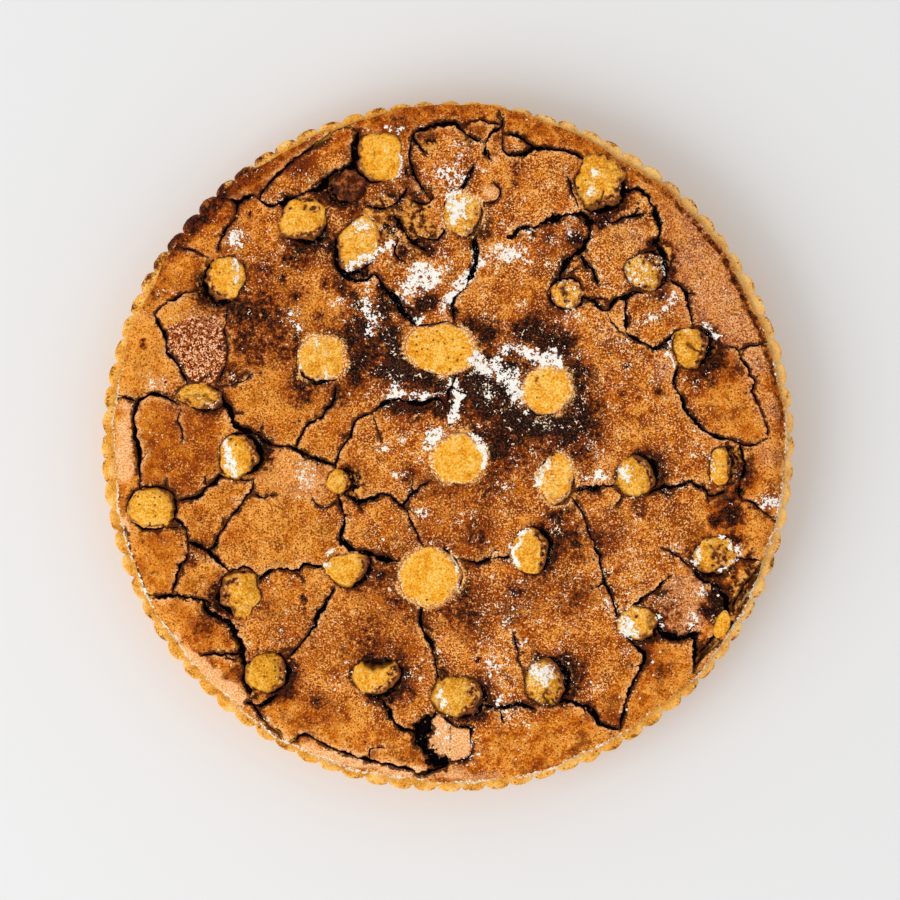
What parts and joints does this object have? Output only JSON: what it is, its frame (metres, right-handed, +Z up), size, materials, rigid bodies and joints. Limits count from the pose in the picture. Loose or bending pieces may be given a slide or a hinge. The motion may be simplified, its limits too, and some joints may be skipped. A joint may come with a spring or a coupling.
{
  "type": "apple almond tart",
  "caption": "Round baked tart with a fluted shortcrust shell, a cracked brown almond filling and golden apple pieces sunk in its crust.",
  "frame": {"origin": "centre of the underside", "axes": "+Z up out of the filling, +Y to the far side and +X to the right as the tart is seen from above"},
  "size_m": [0.2792, 0.2792, 0.0353],
  "materials": {
    "shortcrust": "matte baked crust",
    "filling": "satin baked crust, glossy in its cracks",
    "apple": "soft satin",
    "browned_apple": "glossy caramel"
  },
  "bodies": {
    "root": {"pastry_shell": "shortcrust", "almond_filling": "filling", "apple_01": "apple", "apple_02": "browned_apple", "apple_03": "apple", "apple_04": "apple", "apple_05": "apple", "apple_06": "apple", "apple_07": "apple", "apple_08": "apple", "apple_09": "apple", "apple_10": "apple", "apple_11": "apple", "apple_12": "apple", "apple_13": "apple", "apple_14": "apple", "apple_15": "apple", "apple_16": "apple", "apple_17": "apple", "apple_18": "apple", "apple_19": "apple", "apple_20": "apple", "apple_21": "apple", "apple_22": "apple", "apple_23": "apple", "apple_24": "apple", "apple_25": "apple", "apple_26": "apple", "apple_27": "apple", "apple_28": "apple", "apple_29": "apple", "apple_30": "apple", "apple_31": "apple", "apple_32": "apple"}
  },
  "joints": []
}
